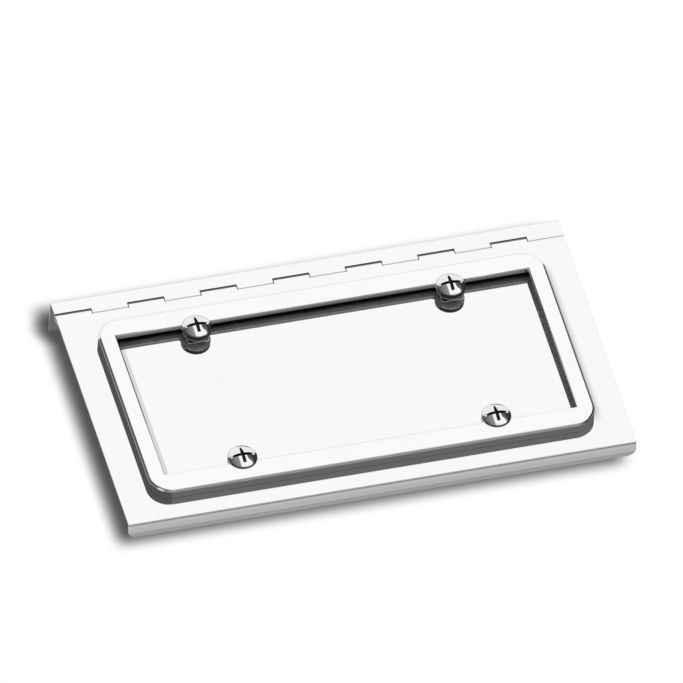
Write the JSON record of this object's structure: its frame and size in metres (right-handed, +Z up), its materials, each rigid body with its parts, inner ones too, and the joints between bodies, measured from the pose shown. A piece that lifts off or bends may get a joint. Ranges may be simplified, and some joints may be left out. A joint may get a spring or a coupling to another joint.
{
  "type": "hinged number plate holder",
  "caption": "Polished steel holder that bolts under a bumper: a panel swings on a rolled hinge and carries a number plate behind a screwed-on frame.",
  "frame": {"origin": "middle of the row of bolt holes, on the top face of the bracket's flange, which bolts up under a bumper", "axes": "+X to the right across the holder seen from its front, +Y from the front to the back, +Z up; the panel hangs down in line with the bracket, as in use"},
  "size_m": [0.3556, 0.0401, 0.2072],
  "materials": {
    "sheet": "stainless steel sheet polished to a mirror",
    "frame": "bright chrome",
    "screw": "bright chrome",
    "pin": "drawn steel wire",
    "nut": "black moulded nylon"
  },
  "bodies": {
    "bracket": {"mounting_bracket": "sheet", "hinge_pin": "pin"},
    "panel": {"swing_panel": "sheet", "plate_frame": "frame", "screw_top_left": "screw", "screw_top_right": "screw", "screw_bottom_left": "screw", "screw_bottom_right": "screw", "insert_nut_top_left": "nut", "insert_nut_top_right": "nut", "insert_nut_bottom_left": "nut", "insert_nut_bottom_right": "nut"}
  },
  "joints": [
    {"name": "panel_swing", "type": "hinge", "parent": "bracket", "child": "panel", "pos_m": [0, -0.01395, -0.014], "axis": [-1, 0, 0], "range_deg": [-105, 95]}
  ]
}
